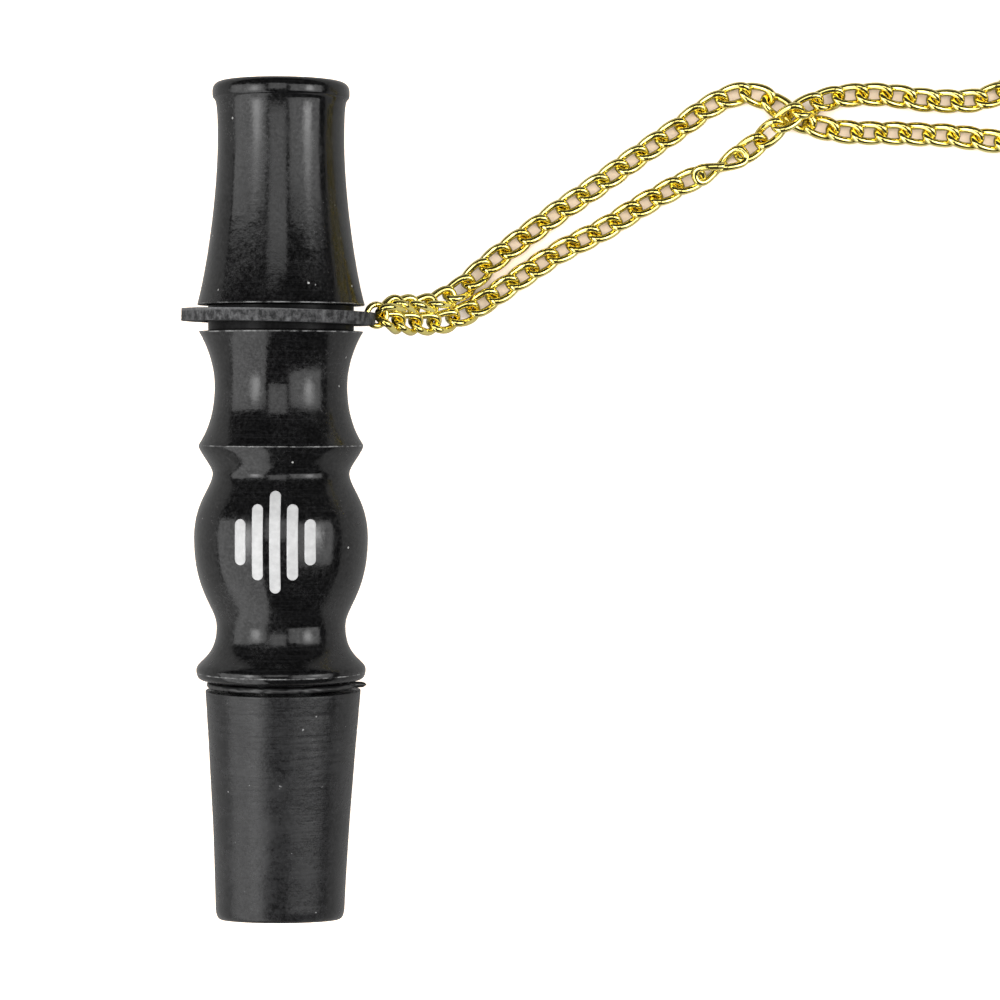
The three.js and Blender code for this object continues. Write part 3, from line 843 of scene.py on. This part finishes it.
def make_chain_ring(material):
    """A flat ring cut from sheet, rough round its edge, with a small hole for the jump ring."""
    outline = [(RING_BORE_RADIUS, RING_TOP), (RING_BORE_RADIUS, RING_BOTTOM)]
    line_to(outline, (RING_RADIUS, RING_BOTTOM), 8)
    line_to(outline, (RING_RADIUS, RING_TOP), 12)
    line_to(outline, (RING_BORE_RADIUS, RING_TOP), 8)
    outline.pop()

    def reshape(radius, along, angle):
        if radius < RING_BORE_RADIUS + 1e-6:
            return radius
        edge = smoothstep((radius - RING_RADIUS + 0.6 * MM) / (0.6 * MM))
        around = Vector((math.cos(angle), 0, math.sin(angle)))
        wave = noise.noise(4 * around + Vector((0, along / (3 * MM), 0)))
        torn = noise.noise(26 * around + Vector((0, along / (0.35 * MM), 0)))
        return radius + edge * (0.04 * wave + 0.045 * torn) * MM

    ring = turned("neck_ring", softened(outline, 0.08 * MM), material, reshape, 360)
    middle = Matrix.Translation((0, RING_MIDDLE, 0))
    leaning = middle @ Matrix.Rotation(RING_LEAN, 4, "Z") @ middle.inverted()
    ring.data.transform(Matrix.Translation(RING_OFFSET) @ leaning)
    hole_line = [Vector((RING_HOLE_FROM_AXIS, along, 0)) for along in (RING_BOTTOM - MM, RING_TOP + MM)]
    points, faces = sweep(hole_line, circle(RING_HOLE_RADIUS, 40), Vector((0, 0, 1)), False)
    cutter = add_piece("ring_hole", points, faces, material, MOUTHPIECE)
    ring.modifiers.clear()
    cut = ring.modifiers.new("hole", "BOOLEAN")
    cut.object = cutter
    cut.solver = "EXACT"
    apply_modifiers(ring)
    bpy.data.objects.remove(cutter)
    flat_faces_stay_flat(ring)
    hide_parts("chain_ring")
    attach(ring, "ring")


def make_mark(material):
    """A plain printed mark on the bulb: five upright bars with round ends, the middle one longest."""
    bar_width = 1.25 * MM
    bar_step = 1.98 * MM
    half_heights = (2.6 * MM, 4.3 * MM, 5.8 * MM, 4.3 * MM, 2.6 * MM)
    centre_along = BULB[1] - 0.1 * MM
    profile = [(along, radius) for radius, along in grip_outline() if radius > LOWER_NECK[0]]
    profile = sorted(point for point in profile if LOWER_NECK[1] < point[0] < GROOVE[1])

    def bulb_radius(along):
        for (low, low_radius), (high, high_radius) in zip(profile, profile[1:]):
            if low <= along <= high:
                return low_radius + (high_radius - low_radius) * (along - low) / (high - low)
        return profile[0][1]

    rows, columns = 60, 10
    points = []
    faces = []
    for bar, half_height in enumerate(half_heights):
        centre_x = (bar - (len(half_heights) - 1) / 2) * bar_step
        for layer in (0.025 * MM, -0.05 * MM):
            for i in range(rows + 1):
                up = -math.cos(math.pi * i / rows) * half_height
                past_end = max(0, abs(up) - (half_height - bar_width / 2))
                half_width = max(0.02 * MM, math.sqrt(max(0, (bar_width / 2) ** 2 - past_end**2)))
                for j in range(columns + 1):
                    x = centre_x + half_width * (2 * j / columns - 1)
                    reach = bulb_radius(centre_along + up) + layer
                    points.append((x, centre_along + up, math.sqrt(reach**2 - x**2)))
        across = columns + 1
        layer_size = (rows + 1) * across
        start = bar * 2 * layer_size
        border = list(range(across))
        border += [i * across + columns for i in range(1, rows + 1)]
        border += [rows * across + j for j in range(columns - 1, -1, -1)]
        border += [i * across for i in range(rows - 1, 0, -1)]
        for first in (start, start + layer_size):
            for i in range(rows):
                for j in range(columns):
                    corner = first + i * across + j
                    faces.append((corner, corner + 1, corner + across + 1, corner + across))
        for a, b in zip(border, border[1:] + border[:1]):
            faces.append((start + a, start + b, start + layer_size + b, start + layer_size + a))
    mark = add_piece("printed_bars", points, faces, material, MOUTHPIECE)
    flat_faces_stay_flat(mark)
    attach(mark, "grip")


# ---- wire rings, clasp and tie ----


def wire_ring(name, radius, place, cut_angle, material):
    """A ring of round wire, bent round until its cut ends almost meet at cut_angle."""
    gap = 0.06 * MM / radius
    steps = 72
    line = []
    for k in range(steps + 1):
        angle = cut_angle + gap / 2 + (2 * math.pi - gap) * k / steps
        line.append(place @ Vector((radius * math.cos(angle), radius * math.sin(angle), 0)))
    normal = (place.to_3x3() @ Vector((0, 0, 1))).normalized()
    points, faces = sweep(line, circle(RING_WIRE, 16), normal, False)
    ring = add_piece(name, points, faces, material)
    return ring


def make_jump_ring(material):
    ring = wire_ring("jump_ring_wire", JUMP_RING_RADIUS, jump_ring_place(), math.radians(100), material)
    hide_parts("jump_ring")
    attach(ring, "ring")
    return ring


def make_small_ring(node, cut_angle, material):
    place = Matrix.Translation(middle_of(node)) @ Matrix.Rotation(SMALL_RING_TILT, 4, "X")
    ring = wire_ring(node + "_wire", SMALL_RING_RADIUS, place, cut_angle, material)
    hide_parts(node)
    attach(ring, "chain")
    return ring


def cast_from(node, name, body, material):
    """A cast piece of a CAD node's shape, with its edges rounded over."""
    piece = bpy.data.objects.new(name, frame["nodes"][node].data.copy())
    bpy.context.scene.collection.objects.link(piece)
    piece.data.materials.clear()
    piece.data.materials.append(material)
    remesh = piece.modifiers.new("skin", "REMESH")
    remesh.mode = "VOXEL"
    remesh.voxel_size = 0.07 * MM
    smooth = piece.modifiers.new("rounding", "SMOOTH")
    smooth.factor = 0.5
    smooth.iterations = 9
    apply_modifiers(piece)
    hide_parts(node)
    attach(piece, body)
    return piece


def make_clasp_pin(material):
    """A plain rivet with domed ends."""
    low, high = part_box("clasp_pin")
    middle = (low + high) / 2
    radius = (high.x - low.x) / 2
    half = (high.z - low.z) / 2
    heights = [(math.sin(math.pi / 2 * k / 5), math.cos(math.pi / 2 * k / 5)) for k in range(6)]
    outline = [(radius * max(0.02, c), half - 0.1 * MM + 0.1 * MM * s) for s, c in reversed(heights)]
    outline += [(r, -z) for r, z in reversed(outline)]
    points = []
    for r, z in outline:
        points += [middle + Vector((x, y, z)) for x, y in circle(r, 24)]
    faces = grid_faces(len(outline), 24, False)
    faces.append(tuple(range(24)))
    faces.append(tuple(range(len(points) - 24, len(points))))
    pin = add_piece("clasp_rivet", points, faces, material)
    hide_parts("clasp_pin")
    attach(pin, "chain")
    return pin


def make_tie(material):
    """A woven band once round the folded chain, its end lying on itself on top."""
    low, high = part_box("hank_tie")
    half_y = (high.y - low.y - TIE_THICKNESS) / 2
    bottom = TIE_THICKNESS / 2
    top = high.z - TIE_THICKNESS / 2
    corner = 1.1 * MM
    middle_y = (low.y + high.y) / 2
    line = [Vector((0, -2.5 * MM, top))]
    corners = ((1, top, 90), (1, bottom, 0), (-1, bottom, -90), (-1, top, -180))
    for side, height, first in corners:
        centre = Vector((0, side * (half_y - corner), height - corner if height == top else height + corner))
        for k in range(9):
            angle = math.radians(first - 90 * k / 8)
            line.append(centre + corner * Vector((0, math.cos(angle), math.sin(angle))))
    line.append(Vector((0, -half_y + corner + 2 * MM, top + 0.12 * MM)))
    line.append(Vector((0, -2.9 * MM, top + 0.45 * MM)))
    line.append(Vector((0, 0.5 * MM, top + 0.46 * MM)))
    line.append(Vector((0, 3.6 * MM, top + 0.5 * MM)))
    centre = Vector((TIE_MIDDLE, middle_y, 0))
    route = Route(smooth_route([p + centre for p in line], 4))
    steps = 150
    path = [route.at(route.length * k / steps) for k in range(steps + 1)]
    half_width = TIE_WIDTH / 2
    half_thickness = TIE_THICKNESS / 2
    edge = 5
    section = []
    for side in (1, -1):
        for k in range(edge + 1):
            angle = math.pi * (k / edge - 0.5)
            across = side * (half_width - half_thickness + half_thickness * math.cos(angle))
            section.append((side * half_thickness * math.sin(angle), across))
    points, faces = sweep(path, section, Vector((1, 0, 0)), False)
    tie = add_piece("woven_tie", points, faces, material)
    coordinates = tie.data.uv_layers.new(name="weave").data
    for loop in tie.data.loops:
        row = loop.vertex_index // len(section)
        coordinates[loop.index].uv = (route.length * row / steps, points[loop.vertex_index].x - TIE_MIDDLE)
    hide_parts("hank_tie")
    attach(tie, "chain")
    return tie


# ---- floor and light ----


def make_floor():
    """A warm white table that glows where it is open to the sky and not where things lie close over it, which
    paints shade into the holes and crevices under the links, where its warm colour shows as painted bounced
    gold light; it is dim in what the object reflects.
    """
    material, shader = new_material("floor", (0.98, 0.77, 0.58), 0.7)
    shader.inputs["Emission Color"].default_value = (1, 1, 1, 1)
    # Painted shade: the glow fades where anything lies within a few millimetres, so the holes and crevices
    # under the links go darker and show the warm colour as painted bounced light.
    nearby = add_node(material, "ShaderNodeAmbientOcclusion", {"Distance": 2.2 * MM}, samples=8)
    glow = spread(material, nearby.outputs["AO"], 0.35, 0.85, 0.0, 0.75)
    feed(material, shader, Emission_Strength=glow)
    nodes = material.node_tree.nodes
    links = material.node_tree.links
    dim = add_node(material, "ShaderNodeBsdfDiffuse", {"Color": (0.31, 0.308, 0.305, 1)}).outputs["BSDF"]
    seen = add_node(material, "ShaderNodeLightPath").outputs["Is Camera Ray"]
    either = add_node(material, "ShaderNodeMixShader", {"Fac": seen})
    links.new(dim, either.inputs[1])
    links.new(shader.outputs["BSDF"], either.inputs[2])
    links.new(either.outputs["Shader"], nodes["Material Output"].inputs["Surface"])
    half = 6
    corners = [(-half, -half), (half, -half), (half, half), (-half, half)]
    floor = add_piece("floor", [(x, y, FLOOR_LEVEL) for x, y in corners], [(0, 1, 2, 3)], material)


def softbox(name, lean, spread, near_y, far_y, distance, radiance, fades=False):
    """A flat light facing the mouthpiece, leaning from overhead towards +X, its edges spread apart across
    and reaching along Y from near_y to far_y. Angles are in degrees. If it fades, it is dark at its edge."""
    lean = math.radians(lean)
    light = bpy.data.lights.new(name, "AREA")
    light.shape = "RECTANGLE"
    light.size = 2 * distance * math.tan(math.radians(spread) / 2)
    light.size_y = far_y - near_y
    light.energy = radiance * math.pi * light.size * light.size_y
    if fades:
        light.use_nodes = True
        nodes = light.node_tree.nodes
        links = light.node_tree.links
        across = nodes.new("ShaderNodeNewGeometry").outputs["Parametric"]
        from_middle = nodes.new("ShaderNodeVectorMath")
        from_middle.operation = "DISTANCE"
        from_middle.inputs[1].default_value = (0.5, 0.5, 0)
        glow = nodes.new("ShaderNodeMapRange")
        glow.interpolation_type = "SMOOTHSTEP"
        glow.inputs["From Max"].default_value = 0.5
        glow.inputs["To Min"].default_value = 1
        glow.inputs["To Max"].default_value = 0
        links.new(across, from_middle.inputs[0])
        links.new(from_middle.outputs["Value"], glow.inputs["Value"])
        links.new(glow.outputs["Result"], nodes["Emission"].inputs["Strength"])
    lamp = bpy.data.objects.new(name, light)
    lamp.location = (distance * math.sin(lean), (near_y + far_y) / 2, distance * math.cos(lean))
    lamp.rotation_euler = (0, lean, 0)
    lamp.visible_camera = False
    bpy.context.scene.collection.objects.link(lamp)
    return lamp


def make_lights():
    panel = 2.2
    softbox("left_panel", -54.7, 64.2, -2.3, 0.275, 0.9, panel)
    softbox("right_panel", 47.1, 56.6, -0.3, 0.275, 0.9, panel)
    softbox("overhead_strip", -1.9, 29.8, -0.04, 0.37, 0.9, 0.9 * panel)
    softbox("left_core", -40, 26, -0.3, 0.274, 0.86, 3 * panel, fades=True)
    softbox("right_core", 52, 24, -0.2, 0.29, 0.86, 3 * panel, fades=True)
    for lean in (-35, 0, 45):
        softbox("floor_fill", lean, 60, -0.7, 0.7, 1, 1.1).visible_glossy = False


def make_world():
    """Almost black to reflect, and pale behind the floor's edge where it is seen directly."""
    world = bpy.data.worlds.new("studio")
    bpy.context.scene.world = world
    world.use_nodes = True
    nodes = world.node_tree.nodes
    links = world.node_tree.links
    dark = nodes["Background"]
    dark.inputs["Color"].default_value = (0.05, 0.05, 0.05, 1)
    pale = nodes.new("ShaderNodeBackground")
    pale.inputs["Color"].default_value = (0.95, 0.95, 0.95, 1)
    ray = nodes.new("ShaderNodeLightPath")
    either = nodes.new("ShaderNodeMixShader")
    links.new(ray.outputs["Is Camera Ray"], either.inputs["Fac"])
    links.new(dark.outputs["Background"], either.inputs[1])
    links.new(pale.outputs["Background"], either.inputs[2])
    links.new(either.outputs["Shader"], nodes["World Output"].inputs["Surface"])


make_camera()
gold_wire = gold()
chains = make_chains(gold_wire)
body_edges = (TOP_EDGE[1] - 0.13 * MM, RIDGE[1], FLANGE[1] - 0.3 * MM)
gloss = black_gloss("black_gloss", body_edges)
rubber = seal_rubber()
make_grip_body(gloss)
make_mouth_tip(black_gloss("tip_gloss", (SHOULDER[1] + 0.13 * MM,), shaded_below=SHOULDER[1]))
make_sleeve(sleeve_rubber())
make_sleeve_seal(rubber)
make_joint_seal(rubber)
make_chain_ring(ring_rubber())
make_mark(white_print())
jump_ring = make_jump_ring(gold_wire)
clasp = [
    jump_ring,
    make_small_ring("clasp_ring", math.radians(70), gold_wire),
    cast_from("clasp_body", "clasp_casting", "chain", gold_wire),
    cast_from("clasp_lever", "clasp_gate", "gate", gold_wire),
    make_clasp_pin(gold_wire),
]
far_pieces = [make_small_ring("end_ring", math.radians(-60), gold_wire), make_tie(woven_band())]
make_floor()
make_lights()
make_world()
bpy.context.scene.view_settings.view_transform = "Standard"
